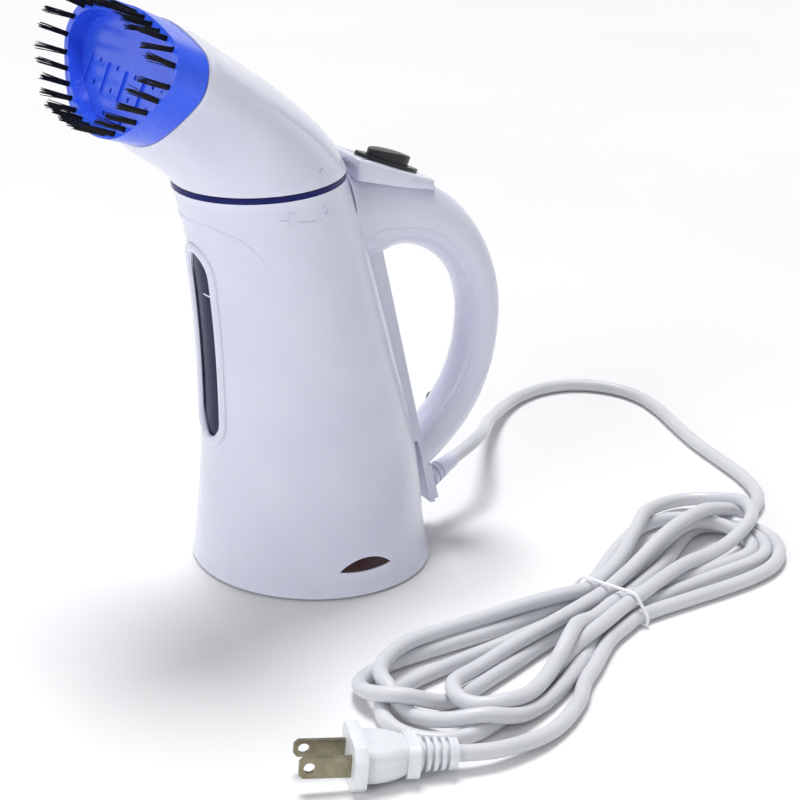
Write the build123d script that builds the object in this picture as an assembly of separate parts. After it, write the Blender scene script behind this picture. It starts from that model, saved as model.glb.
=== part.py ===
"""Handheld garment steamer: a leaning tank body with a D-handle, a twist-off head and a slip-on brush.

Frame: millimetres, +Z up, origin at the centre of the round pad that the steamer stands on.
The nozzle points towards -X and the handle is on +X. Body, head and handle mirror in the plane y = 0.
"""
from build123d import *
import math
import os

# ---------------------------------------------------------------- driving dimensions
BODY_HEIGHT = 163.4           # height of the collar's centre
BASE_RADIUS = 49.7
COLLAR_RADIUS = 34.0
COLLAR_LEAN = -26.1           # x of the collar's centre: the body leans towards the nozzle
COLLAR_TILT = 3.7             # degrees, the collar is lower at the nozzle
WALL = 2.2
GAP = 0.4                     # clearance where parts are assembled or turn

NOZZLE_TILT = 21.0            # degrees, the nozzle looks forwards and up
NOZZLE_FACE = (-86.6, 208.3)  # x and z of the centre of the brush's rim
NOZZLE_HALF_WIDTH = 51.0
NOZZLE_TOP = 22.5             # rim height above the nozzle's axis
NOZZLE_BOTTOM = 26.5          # rim depth below the nozzle's axis
CAP_DEPTH = 13.0
CAP_WALL = 1.7
RIM_BAND = 4.2
RECESS_DEPTH = 6.0
PLATE_THICKNESS = 2.0
RIB_PITCH = 16.5
TUFT_LENGTH = 12.3
TUFT_RADIUS = 1.1
TUFT_BED = 2.5                # how deep a tuft is set in the rim
TUFT_COUNT = 30

TANK_INSET = 3.4              # tank wall, measured in from the body's outside
TANK_WALL = 1.8
TANK_FLOOR = 50.0
FLANGE_THICKNESS = 2.2
NECK_RADIUS = 27.0
LUG_COUNT = 3
LUG_ANGLE = 24.0              # degrees of the neck that one bayonet lug takes
UNLOCK_ANGLE = 30.0

SPINE_THICKNESS = 2.2
SPINE_HALF_WIDTH = 8.5
SPINE_TOP = (26.0, 127.3)     # x and z of a point on the spine's rear line
SPINE_SLOPE = 0.2558          # the spine's x grows by this much for each millimetre down
SWITCH_TILT = 20.0            # degrees, the switch's top falls away from the collar
SWITCH_CENTRE = (30.0, 163.6)
BUTTON_RADII = (9.6, 5.8)
BEZEL_RADII = (14.7, 7.6)

CORD_DIAMETER = 5.95
RELIEF_LENGTH = 17.0
PLUG_HEADING = -18.5          # degrees, the way the cord leaves the plug
PLUG_DIP = 3.0                # degrees, the cord's weight rests the plug on its flange and its relief
PLUG_FACE = (-71.3, -165.6, 8.75)   # centre of the face that the blades stand out of
PLUG_LENGTH = 37.5            # from that face to the relief's end
TIE_POINT = (79.0, -105.0)
TIE_HEADING = 24.0            # degrees, the way the strands run through the tie

# Body stations: height, x of the centre, radius. The foot stands upright and the rest leans.
BODY_STATIONS = [
    (1.0, 0.0, BASE_RADIUS),
    (26.0, -1.1, 46.3),
    (52.0, -2.9, 43.7),
    (80.0, -6.9, 40.4),
    (112.0, -12.7, 37.0),
    (140.0, -19.0, 34.7),
    (BODY_HEIGHT, COLLAR_LEAN, COLLAR_RADIUS),
]

# Handle stations: x, z, heading in degrees, half depth in the handle's plane, half width.
HANDLE_STATIONS = [
    (8.0, 146.5, 0.0, 19.0, 18.0),
    (36.0, 144.0, -9.0, 14.6, 12.8),
    (52.0, 138.2, -31.0, 12.2, 11.4),
    (63.6, 128.6, -48.0, 10.5, 10.8),
    (72.0, 115.5, -68.0, 9.4, 10.4),
    (76.2, 99.5, -84.0, 9.0, 10.3),
    (75.8, 83.0, -98.0, 9.0, 10.2),
    (71.8, 67.0, -113.0, 9.2, 10.0),
    (64.0, 53.0, -128.0, 9.4, 9.8),
    (54.5, 42.5, -136.0, 9.3, 9.4),
    (44.0, 33.5, -138.0, 9.0, 9.0),
]

# Head stations: x, z, tilt in degrees, half height, half width, share of the nozzle's outline.
HEAD_STATIONS = [
    (-32.0, 173.4, 8.0, 33.2, 34.2, 0.05),
    (-50.5, 189.0, 28.0, 27.4, 38.0, 0.5),
    (-62.5, 197.2, 48.0, 24.4, 43.0, 0.85),
]

# The cord's route from the handle to the hank, and from the hank to the plug.
RELIEF_TIP = (71.1, 5.6, 25.5)
CORD_ROUTE = [
    RELIEF_TIP,
    (81.0, 9.2, 28.0),
    (91.0, 15.8, 28.6),
    (100.0, 25.5, 26.6),
    (108.5, 37.5, 22.5),
    (118.0, 51.5, 17.0),
    (129.0, 66.5, 11.5),
    (141.5, 81.0, 7.0),
    (155.0, 94.0, 4.2),
    (170.5, 104.5, 3.0),
    (188.5, 110.0, 3.0),
    (206.8, 107.4, 3.0),
    (220.8, 96.0, 3.0),
    (227.4, 78.8, 3.0),
    (225.2, 58.6, 3.0),
    (219.5, 37.0, 3.0),
    (215.0, 15.5, 3.0),
    (213.0, -6.0, 3.0),
    (210.5, -26.5, 3.0),
    (204.0, -45.0, 3.0),
    (191.0, -56.5, 3.0),
    (176.0, -59.0, 4.0),
]
# The lead starts at the plug's relief, whose end and direction follow from the plug's frame.
LEAD_ROUTE = [
    (-11.8, -180.2, 5.1),
    (2.0, -177.2, 3.9),
    (15.0, -170.4, 3.0),
    (27.6, -160.6, 3.0),
    (39.2, -149.8, 3.0),
    (49.6, -138.6, 4.0),
    (58.5, -127.0, 5.5),
]
# The hank lies as two fans of loops, one each side of the tie.
HANK_HEIGHT = 17.5
HANK_OUTLINE = [
    (72.0, -88.0), (91.0, -73.0), (111.0, -58.0), (132.0, -46.0), (153.0, -34.0), (172.0, -30.0),
    (187.0, -37.0), (191.0, -55.0), (188.0, -75.0), (179.0, -94.0), (166.0, -107.0), (148.0, -113.0),
    (124.0, -117.0), (99.0, -119.0), (84.0, -122.0), (66.0, -129.0), (46.0, -140.0), (25.0, -152.0),
    (4.0, -162.0), (-17.0, -168.0), (-36.0, -166.0), (-48.0, -153.0), (-52.0, -136.0), (-47.0, -117.0),
    (-30.0, -106.0), (-3.0, -98.0), (24.0, -94.0), (50.0, -92.0),
]


# ---------------------------------------------------------------- frames and shared forms
def tilted(x, z, degrees):
    """A plane at (x, 0, z) whose normal leans from +Z towards -X by the given angle."""
    lean = math.radians(degrees)
    return Plane(
        origin=(x, 0, z),
        x_dir=(math.cos(lean), 0, math.sin(lean)),
        z_dir=(-math.sin(lean), 0, math.cos(lean)),
    )


COLLAR = tilted(COLLAR_LEAN, BODY_HEIGHT, COLLAR_TILT)
NOZZLE = Plane(
    origin=(NOZZLE_FACE[0], 0, NOZZLE_FACE[1]),
    x_dir=(0, 1, 0),
    z_dir=(-math.cos(math.radians(NOZZLE_TILT)), 0, math.sin(math.radians(NOZZLE_TILT))),
)
SWITCH = tilted(SWITCH_CENTRE[0], SWITCH_CENTRE[1], -SWITCH_TILT)
SIDE = Plane(origin=(0, 0, 0), x_dir=(1, 0, 0), z_dir=(0, -1, 0))
FRONT = Plane(origin=(0, 0, 0), x_dir=(0, 1, 0), z_dir=(1, 0, 0))


def heading_vector(heading, dip):
    """A unit vector at a heading from +X, dipping below the horizontal."""
    turn, fall = math.radians(heading), math.radians(dip)
    return (math.cos(turn) * math.cos(fall), math.sin(turn) * math.cos(fall), -math.sin(fall))


PLUG = Plane(
    origin=PLUG_FACE,
    x_dir=(-math.sin(math.radians(PLUG_HEADING)), math.cos(math.radians(PLUG_HEADING)), 0),
    z_dir=heading_vector(PLUG_HEADING, PLUG_DIP),
)


def body_form(inset, overrun=0.0):
    """The body's outer form, drawn in by inset and lengthened by overrun at both ends."""
    stations = []
    for height, x, radius in BODY_STATIONS:
        tilt = COLLAR_TILT * max(0.0, height - 80.0) / (BODY_HEIGHT - 80.0)
        stations.append(tilted(x, height, tilt) * Circle(radius - inset))
    if overrun:
        stations.insert(0, Pos(0, 0, BODY_STATIONS[0][0] - overrun) * Circle(BASE_RADIUS - inset))
        stations.append(COLLAR.offset(overrun) * Circle(COLLAR_RADIUS - inset))
    return loft(stations)


def slab(low, high, size=400.0):
    """A wide slab between two heights, for trimming."""
    return Pos(0, 0, (low + high) / 2) * Box(size, size, high - low)


def disc(plane, radius, low, high):
    """A cylinder on a plane's axis between two offsets."""
    return extrude(plane.offset(low) * Circle(radius), high - low)


def ring(plane, outer, inner, low, high):
    """A flat ring on a plane's axis between two offsets."""
    return disc(plane, outer, low, high) - disc(plane, inner, low - 1, high + 1)


def oval(plane, radii, low, high):
    """An elliptical block on a plane's axis between two offsets."""
    return extrude(plane.offset(low) * Ellipse(radii[0], radii[1]), high - low)


def side_prism(points, half_width):
    """A prism through the plane y = 0 with the given outline in x and z."""
    return extrude(SIDE.offset(-half_width) * make_face(Polyline(points, close=True)), 2 * half_width)


# ---------------------------------------------------------------- nozzle outline
OUTLINE_CENTRE = (NOZZLE_TOP - NOZZLE_BOTTOM) / 2
OUTLINE_HALF_HEIGHT = (NOZZLE_TOP + NOZZLE_BOTTOM) / 2


def nozzle_outline():
    """The nozzle's outline as across and up: arched top edge, round shoulders, deep round bottom."""
    width = NOZZLE_HALF_WIDTH
    half = [
        (0.0, NOZZLE_TOP),
        (0.36 * width, 0.955 * NOZZLE_TOP),
        (0.7 * width, 0.83 * NOZZLE_TOP),
        (0.93 * width, 0.6 * NOZZLE_TOP),
        (width, 0.2 * NOZZLE_TOP),
        (0.9 * width, -0.16 * NOZZLE_BOTTOM),
        (0.72 * width, -0.5 * NOZZLE_BOTTOM),
        (0.47 * width, -0.83 * NOZZLE_BOTTOM),
        (0.2 * width, -0.975 * NOZZLE_BOTTOM),
        (0.0, -NOZZLE_BOTTOM),
    ]
    mirrored = [(-across, up) for across, up in reversed(half[1:-1])]
    return half + mirrored


def section(plane, half_height, half_width, share):
    """A closed face between a circle (share 0) and the nozzle's outline (share 1), x_dir upwards."""
    points = []
    for across, up in nozzle_outline():
        flat_across = across / NOZZLE_HALF_WIDTH
        flat_up = (up - OUTLINE_CENTRE) / OUTLINE_HALF_HEIGHT
        angle = math.atan2(flat_across, flat_up)
        blend_across = share * flat_across + (1 - share) * math.sin(angle)
        blend_up = share * flat_up + (1 - share) * math.cos(angle)
        points.append((blend_up * half_height, blend_across * half_width))
    return plane * make_face(Spline(points, periodic=True))


def nozzle_section(offset, inset):
    """The nozzle's outline at an offset along the nozzle's axis, drawn in by inset."""
    upwards = math.radians(90 - NOZZLE_TILT)
    mouth = NOZZLE.offset(offset)
    plane = Plane(
        origin=mouth.from_local_coords((0, OUTLINE_CENTRE, 0)),
        x_dir=(math.cos(upwards), 0, math.sin(upwards)),
        z_dir=mouth.z_dir,
    )
    return section(plane, OUTLINE_HALF_HEIGHT - inset, NOZZLE_HALF_WIDTH - inset, 1.0)


def nozzle_block(low, high, inset_low, inset_high):
    """A solid with the nozzle's outline between two offsets along the nozzle's axis."""
    return loft([nozzle_section(low, inset_low), nozzle_section(high, inset_high)])


# ---------------------------------------------------------------- body and tank
WINDOW_HALF_WIDTH = 9.6
WINDOW_BOTTOM = 58.0
WINDOW_TOP = 138.5
LENS_SPAN = (-11.6, 12.2)     # x of the indicator lens's two tips
LENS_HEIGHT = 11.4            # height of the tips
LENS_RISE = 4.8
SCREW_CIRCLE = 41.0
SCREW_ANGLES = (90.0, 210.0, 330.0)


def window_prism(inset):
    """The tall window with pointed ends, as a prism along X through the front wall."""
    width = WINDOW_HALF_WIDTH - inset
    top = WINDOW_TOP - inset
    bottom = WINDOW_BOTTOM + inset
    side = ThreePointArc((0, top), (0.72 * width, top - 7.5), (width, top - 19))
    edge = Line((width, top - 19), (width, bottom + 18))
    heel = ThreePointArc((width, bottom + 18), (0.76 * width, bottom + 7), (0, bottom))
    half = make_face(side + edge + heel + Line((0, bottom), (0, top)))
    face = half + mirror(half, about=Plane.YZ)
    return extrude(FRONT.offset(-70) * face, 40)


def lens_prism(inset):
    """The crescent indicator lens as a prism along Y through the near wall."""
    low, high = LENS_SPAN
    left = (low + inset, LENS_HEIGHT)
    right = (high - inset, LENS_HEIGHT)
    middle = (low + high) / 2
    upper = ThreePointArc(left, (middle, LENS_HEIGHT + LENS_RISE - inset), right)
    lower = ThreePointArc(right, (middle, LENS_HEIGHT - 0.9 + inset), left)
    return extrude(SIDE.offset(30) * make_face(upper + lower), 30)


def screw_points():
    """The places of the three base screws."""
    return [
        (SCREW_CIRCLE * math.cos(math.radians(a)), SCREW_CIRCLE * math.sin(math.radians(a)))
        for a in SCREW_ANGLES
    ]


def body_shell():
    """The outer housing with its window, lens slot, wire passage and three screw bosses."""
    shell = body_form(0) - body_form(WALL, overrun=3)
    cavity = body_form(0.5)
    for x, y in screw_points():
        boss = Pos(x, y, 9.5) * Cylinder(5.6, 9.0)
        shell += boss & cavity
        shell -= Pos(x, y, 8.5) * Cylinder(1.5, 9.0)
    shell -= window_prism(0)
    shell -= lens_prism(0)
    shell -= Pos(14, 0, 150) * Box(20, 9, 9)
    return shell


def window_pane():
    """The clear pane that fills the window."""
    return (body_form(0.7) - body_form(WALL)) & window_prism(0.15)


def indicator_lens():
    """The crescent lens over the lamp."""
    return (body_form(0.5) - body_form(WALL)) & lens_prism(0.15)


def indicator_lamp():
    """A small neon lamp with two legs, behind the lens."""
    bulb = Pos(0.5, -42.0, 13.0) * Rot(0, 90, 0) * Cylinder(2.2, 9.0)
    return bulb + Pos(0.5, -38.5, 13.0) * Box(9.0, 3.0, 3.4)


def water_tank():
    """The tank: a cup inside the body whose flange shows as the ring under the head."""
    cup = (body_form(TANK_INSET) & slab(TANK_FLOOR, 300)) - (
        body_form(TANK_INSET + TANK_WALL, overrun=3) & slab(TANK_FLOOR + 2, 300)
    )
    cup += ring(COLLAR, COLLAR_RADIUS, NECK_RADIUS, 0, FLANGE_THICKNESS)
    for index in range(LUG_COUNT):
        cup -= lug(index, UNLOCK_ANGLE, NECK_RADIUS - 2, NECK_RADIUS + 1.5, -0.1, 3.0, LUG_ANGLE + 4)
    return cup - Pos(-2.9, 0, TANK_FLOOR) * Cylinder(18.0, 10.0)


def lug(index, turned, inner, outer, low, high, width):
    """One of the evenly spaced sectors of a ring on the collar's axis."""
    centre = 360.0 / LUG_COUNT * index - turned
    wedge = COLLAR * Rot(0, 0, centre) * Pos(outer / 2, 0, (low + high) / 2) * Box(
        outer, 2 * outer * math.tan(math.radians(width / 2)), high - low
    )
    return ring(COLLAR, outer, inner, low, high) & wedge


# ---------------------------------------------------------------- heater under the tank
HEATER = Plane(origin=(-2.9, 0, TANK_FLOOR))
HEATER_SCREW_CIRCLE = 22.5
ELEMENT_LEG_X = 8.1
ELEMENT_LEG_Y = 4.2
ELEMENT_RADIUS = 2.5


def heater_screw_places():
    """Three places round the heater plate."""
    return [HEATER * Rot(0, 0, 120 * i) * Pos(HEATER_SCREW_CIRCLE, 0, 0) for i in range(3)]


def element_seal():
    """The rubber ring between the tank's floor and the heater plate."""
    seal = ring(HEATER, 26.0, 18.0, -1.4, 0)
    for place in heater_screw_places():
        seal -= place * Cylinder(1.8, 6.0)
    return seal


def heater_plate():
    """The steel disc that closes the tank's floor and carries the element."""
    plate = disc(HEATER, 26.0, -2.8, -1.4)
    for place in heater_screw_places():
        plate -= place * Cylinder(1.8, 8.0)
    for side in (-1, 1):
        leg = Pos(ELEMENT_LEG_X, side * ELEMENT_LEG_Y, TANK_FLOOR - 2)
        plate -= leg * Cylinder(ELEMENT_RADIUS + 0.1, 6.0)
    return plate


def heating_element():
    """A tubular element: an open square loop above the plate with two legs through it."""
    low, high = TANK_FLOOR - 11.0, TANK_FLOOR + 7.0
    near, far, half = ELEMENT_LEG_X, ELEMENT_LEG_X - 22.0, 12.0
    path = FilletPolyline(
        (near, -ELEMENT_LEG_Y, low),
        (near, -ELEMENT_LEG_Y, high),
        (near, -half, high),
        (far, -half, high),
        (far, half, high),
        (near, half, high),
        (near, ELEMENT_LEG_Y, high),
        (near, ELEMENT_LEG_Y, low),
        radius=[3.4, 4.0, 9.0, 9.0, 4.0, 3.4],
    )
    return sweep(Plane(origin=path @ 0, z_dir=path % 0) * Circle(ELEMENT_RADIUS), path=path)


def heater_screws():
    """Three screws that clamp the plate and its seal to the tank's floor."""
    screws = []
    for place in heater_screw_places():
        head = place * Pos(0, 0, -4.0) * Cylinder(3.0, 2.4)
        shaft = place * Pos(0, 0, -1.4) * Cylinder(1.5, 2.8)
        screws.append(head + shaft)
    return Compound(children=screws)


def thermostat():
    """The disc thermostat under the heater plate, with its flange and two tabs."""
    place = Pos(-8.0, 0, 0)
    body = place * Pos(0, 0, TANK_FLOOR - 7.3) * Cylinder(8.0, 9.0)
    tabs = [place * Pos(0, side * 5.0, TANK_FLOOR - 14.5) * Box(4.0, 0.8, 5.6) for side in (-1, 1)]
    return body + tabs[0] + tabs[1]


def thermal_fuse():
    """The one-shot fuse beside the thermostat."""
    case = Pos(-22.0, 0, TANK_FLOOR - 5.2) * Rot(90, 0, 0) * Cylinder(2.3, 12.0)
    return case + Pos(-22.0, 0, TANK_FLOOR - 5.2) * Rot(90, 0, 0) * Cylinder(0.6, 26.0)


# ---------------------------------------------------------------- base
def base_plate():
    """The floor of the housing, with three counterbored screw holes."""
    plate = Pos(0, 0, 3.4) * Cylinder(BASE_RADIUS - WALL - 1.0, 2.8)
    for x, y in screw_points():
        plate -= Pos(x, y, 3.4) * Cylinder(1.8, 4.0)
        plate -= Pos(x, y, 2.6) * Cylinder(3.4, 1.6)
    return plate


def base_pad():
    """The round rubber pad that the steamer stands on."""
    return Pos(0, 0, 1.0) * Cylinder(36.0, 2.0)


def base_screws():
    """Three screws from below into the housing's bosses."""
    screws = []
    for x, y in screw_points():
        screws.append(Pos(x, y, 2.7) * Cylinder(2.9, 1.2) + Pos(x, y, 7.4) * Cylinder(1.35, 9.0))
    return Compound(children=screws)


# ---------------------------------------------------------------- handle
def spine_x(z):
    """x of the spine's rear face at a height."""
    return SPINE_TOP[0] + (SPINE_TOP[1] - z) * SPINE_SLOPE


def handle_point(station, out):
    """A point at a station, moved out from the centre line in the handle's plane."""
    x, z, heading = station[:3]
    turn = math.radians(heading)
    return (x - out * math.sin(turn), z + out * math.cos(turn))


def handle_form(inset):
    """The grip's outer form: elliptical sections along the bend."""
    sections = []
    for x, z, heading, depth, width in HANDLE_STATIONS:
        turn = math.radians(heading)
        along = (math.cos(turn), 0, math.sin(turn))
        plane = Plane(origin=(x, 0, z), x_dir=(0, 1, 0), z_dir=along)
        sections.append(plane * Ellipse(width - inset, depth - inset))
    return loft(sections)


def spine_form():
    """The straight rib behind the body, free of it near the foot, and the block that holds the relief."""
    low, release, high = 14.2, 44.0, 134.0
    plate = side_prism(
        [
            (spine_x(low) - SPINE_THICKNESS, low),
            (spine_x(low), low),
            (spine_x(high), high),
            (spine_x(high) - 14, high),
            (spine_x(release) - 14, release),
            (spine_x(release) - SPINE_THICKNESS, release),
        ],
        SPINE_HALF_WIDTH,
    )
    block_top = 31.0
    block = side_prism(
        [
            (spine_x(low) - SPINE_THICKNESS, low),
            (spine_x(low) + 2.8, low + 0.7),
            (spine_x(block_top) + 2.8, block_top),
            (spine_x(block_top) - SPINE_THICKNESS, block_top),
        ],
        6.6,
    )
    return plate + block


def behind_spine():
    """Everything on the body's side of the spine's free part, which the grip must not enter."""
    low, high = -20.0, 60.0
    return side_prism(
        [
            (spine_x(low) - SPINE_THICKNESS, low),
            (spine_x(high) - SPINE_THICKNESS, high),
            (spine_x(high) - 60, high),
            (spine_x(low) - 60, low),
        ],
        30.0,
    )


def cover_form():
    """The wedge that carries the switch, on top of the handle's root."""
    low_x, high_x = 9.6, 49.2
    top = [(x, SWITCH_CENTRE[1] + (SWITCH_CENTRE[0] - x) * math.tan(math.radians(SWITCH_TILT)))
           for x in (low_x, high_x)]
    wedge = side_prism([top[0], top[1], (high_x, top[1][1] - 4.4), (low_x, top[0][1] - 9.0)], 20.0)
    plan = make_face(Polyline(
        [(low_x, -15.5), (28.0, -14.2), (43.0, -10.6), (high_x, -7.6), (high_x, 7.6),
         (43.0, 10.6), (28.0, 14.2), (low_x, 15.5)], close=True))
    return wedge & extrude(Pos(0, 0, 120) * plan, 80)


def handle_bosses():
    """Two bosses across the handle for the screws that join its halves."""
    return [Pos(x, 0, z) * Rot(90, 0, 0) for x, z in screw_places()]


def screw_places():
    """x and z of the two handle screws, on the inner side of the bend."""
    return [handle_point(HANDLE_STATIONS[2], -4.2), handle_point(HANDLE_STATIONS[8], -3.6)]


def handle_solid(outer_body):
    """Both handle halves as one hollow piece."""
    shell = (handle_form(0) - behind_spine()) + spine_form() - outer_body
    hollow = handle_form(WALL) - side_prism(
        [(spine_x(z) + shift, z) for z, shift in ((-20, 0.8), (60, 0.8))]
        + [(spine_x(60) - 60, 60), (spine_x(-20) - 60, -20)], 30.0)
    for place in handle_bosses():
        hollow -= place * Cylinder(2.8, 40.0)
    shell -= hollow
    shell -= cover_form()
    shell -= relief_form(GAP / 4)
    shell -= wire_form(0.5)
    shell -= oval(SWITCH, (12.0, 8.0), -24.0, 0.0)
    return shell


def handle_half(solid, side):
    """The half of the handle on one side of the plane y = 0, drilled for its screws."""
    half = solid & (Pos(0, side * 50, 90) * Box(300, 100, 300))
    for place in handle_bosses():
        half -= place * Cylinder(1.35, 16.0)
        if side > 0:
            half -= place * Pos(0, 0, -13.0) * Cylinder(2.7, 12.0)
    return half


def handle_screws():
    """Two screws that join the handle's halves, sunk in the half away from the lock marks."""
    screws = []
    for place in handle_bosses():
        screws.append(place * Cylinder(1.3, 15.0) + place * Pos(0, 0, -8.2) * Cylinder(2.5, 1.8))
    return Compound(children=screws)


def grip_panel(half_width):
    """The inset panel along the inner side of the bend."""
    inner = [handle_point(HANDLE_STATIONS[i], -2.0) for i in (1, 2, 3, 4)]
    outer = [handle_point(HANDLE_STATIONS[i], -30.0) for i in (4, 3, 2, 1)]
    return (handle_form(0) - handle_form(1.1)) & side_prism(inner + outer, half_width)


# ---------------------------------------------------------------- switch
def switch_cover(outer_body):
    """The cover with the switch's opening."""
    cover = cover_form() - outer_body
    return cover - oval(SWITCH, (BUTTON_RADII[0] + GAP, BUTTON_RADII[1] + GAP), -20, 5)


def switch_bezel():
    """The oval frame round the button."""
    frame = oval(SWITCH, BEZEL_RADII, 0, 1.5)
    return frame - oval(SWITCH, (BUTTON_RADII[0] + GAP, BUTTON_RADII[1] + GAP), -1, 3)


def switch_button():
    """The push button, crowned and a little higher towards the collar."""
    block = oval(SWITCH, BUTTON_RADII, -3.0, 6.5)
    crown = SWITCH * Pos(4.0, 0, -43.2) * Sphere(49.0)
    return block & crown


def switch_plunger():
    """The rod under the button that works the switch."""
    return disc(SWITCH, 1.8, -9.5, -3.0)


def switch_body():
    """The latching switch inside the handle's root."""
    case = SWITCH * Pos(0, 0, -12.6) * Box(17.0, 9.0, 9.0)
    return case - disc(SWITCH, 2.0, -13.1, -5.0)


# ---------------------------------------------------------------- wiring in the handle
def wire_points():
    """The wire bundle's route from the switch down the outer side of the grip."""
    route = [(40.0, 146.0)]
    route += [handle_point(HANDLE_STATIONS[i], 3.4) for i in (2, 3, 4, 5, 6, 7, 8)]
    route.append((57.0, 41.0))
    route.append((52.6, 31.5))
    route.append((51.8, 25.4))
    return [(x, 0, z) for x, z in route]


def wire_form(extra):
    """The wire bundle as a round tube along its route."""
    points = wire_points()
    path = FilletPolyline(*points, radius=6.0)
    return sweep(Plane(origin=path @ 0, z_dir=path % 0) * Circle(1.5 + extra), path=path)


def wire_leads():
    """The insulated wires from the switch to the cord's end."""
    return wire_form(0)


# ---------------------------------------------------------------- strain relief at the handle
def relief_plane():
    """The plane where the relief leaves its block, facing along the cord's first run."""
    tip = Vector(*RELIEF_TIP)
    along = (Vector(*CORD_ROUTE[1]) - tip).normalized()
    return Plane(origin=tip - along * RELIEF_LENGTH, z_dir=along)


def relief_form(extra):
    """The ribbed, tapered grommet, with a neck inside the block."""
    base = relief_plane()
    form = disc(base, 3.6 + extra, -4.0, 1.0)
    form += loft([base.offset(0.6) * Circle(5.0 + extra), base.offset(9.0) * Circle(4.1 + extra)])
    form += loft([base.offset(9.0) * Circle(3.9 + extra), base.offset(RELIEF_LENGTH) * Circle(3.4 + extra)])
    return form


def cord_relief():
    """The handle's strain relief with three ribs, cut by the grooves between them."""
    base = relief_plane()
    relief = relief_form(0)
    for offset in (3.0, 6.0):
        relief -= ring(base, 8.0, 3.7, offset, offset + 1.2)
    return relief


# ---------------------------------------------------------------- head
def head_form(inset):
    """The bent duct from the collar to the brush's rear edge."""
    start = COLLAR.offset(FLANGE_THICKNESS + GAP)
    sections = [section(start, COLLAR_RADIUS - inset, COLLAR_RADIUS - inset, 0.0)]
    for x, z, tilt, half_height, half_width, share in HEAD_STATIONS:
        sections.append(section(tilted(x, z, tilt), half_height - inset, half_width - inset, share))
    sections.append(nozzle_section(-CAP_DEPTH - GAP, inset + 0.6))
    return loft(sections)


def head_shell():
    """The head: hollow duct, lip at the collar, and the spigot that the brush slips over."""
    shell = head_form(0) - head_form(WALL)
    spigot_inset = CAP_WALL + GAP
    spigot = nozzle_block(-CAP_DEPTH - GAP - 1.5, -9.0, spigot_inset, spigot_inset)
    bore = nozzle_block(-CAP_DEPTH - GAP - 3.0, -8.0, spigot_inset + WALL, spigot_inset + WALL)
    step = nozzle_block(-CAP_DEPTH - GAP - 1.5, -CAP_DEPTH - GAP, 0.8, 0.8)
    return shell + (step + spigot - bore)


def lock_ring():
    """The bayonet insert in the head: a floor ring, a skirt into the neck and three lugs."""
    top = FLANGE_THICKNESS + GAP
    insert = ring(COLLAR, COLLAR_RADIUS - WALL - 1.0, NECK_RADIUS - 2.6, top, top + 1.8)
    insert += ring(COLLAR, NECK_RADIUS - 0.6, NECK_RADIUS - 2.6, -7.0, top + 1.8)
    for index in range(LUG_COUNT):
        insert += lug(index, 0, NECK_RADIUS - 1.5, NECK_RADIUS + 1.0, -3.2, -GAP, LUG_ANGLE)
    return insert


def head_gasket():
    """The silicone ring on the lock ring's skirt that seals the neck."""
    return ring(COLLAR, NECK_RADIUS - 0.1, NECK_RADIUS - 0.6, 0.4, 1.8)


def steam_baffle():
    """The perforated disc that keeps drops of water out of the nozzle."""
    top = FLANGE_THICKNESS + GAP + 1.8
    plate = disc(COLLAR, NECK_RADIUS - 1.0, top, top + 1.4)
    for index in range(8):
        plate -= COLLAR * Rot(0, 0, 45 * index) * Pos(15, 0, top) * Cylinder(2.2, 8)
    return plate


def nozzle_grille():
    """The plate in the spigot's mouth, with steam slots."""
    inset = CAP_WALL + GAP + WALL + 0.15
    grille = nozzle_block(-11.2, -9.6, inset, inset)
    for index in range(-3, 4):
        grille -= NOZZLE * Pos(index * 9.0, 0, -10.4) * Box(2.4, 15.0, 6.0)
    return grille


# ---------------------------------------------------------------- brush
def rim_places():
    """Evenly spaced tuft places along the middle of the brush's rim."""
    wire = nozzle_section(0, RIM_BAND / 2).face().outer_wire()
    return [wire.position_at((index + 0.5) / TUFT_COUNT) for index in range(TUFT_COUNT)]


def tuft_rod(point, low, high):
    """A round rod at a tuft's place, along the nozzle's axis."""
    plane = Plane(origin=point, z_dir=NOZZLE.z_dir)
    return disc(plane, TUFT_RADIUS, low, high)


def brush_frame():
    """The slip-on brush: rim, recessed plate with ribs and steam holes, and sockets for the tufts."""
    plate_top = -RECESS_DEPTH
    plate_back = plate_top - PLATE_THICKNESS
    frame = nozzle_block(-CAP_DEPTH, 0, 1.0, 0.0)
    frame -= nozzle_block(plate_top, 1.0, RIM_BAND + 0.8, RIM_BAND)
    frame -= nozzle_block(-CAP_DEPTH - 1, plate_back, CAP_WALL, CAP_WALL)
    for index in range(-2, 3):
        rib = NOZZLE * Pos(index * RIB_PITCH, 2.5, plate_top + 0.4) * Box(1.1, 11.5, 0.9)
        frame += rib
    for column in range(-2, 2):
        for row in range(-1, 2):
            hole = NOZZLE * Pos((column + 0.5) * RIB_PITCH, 6.0 + 8.6 * row, plate_top) * Cylinder(1.1, 8.0)
            frame -= hole
    for point in rim_places():
        frame -= tuft_rod(point, -TUFT_BED, 1.0)
    return frame


def bristle_tufts():
    """The tufts, set in the brush's rim."""
    return Compound(children=[tuft_rod(point, -TUFT_BED, TUFT_LENGTH) for point in rim_places()])


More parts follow.
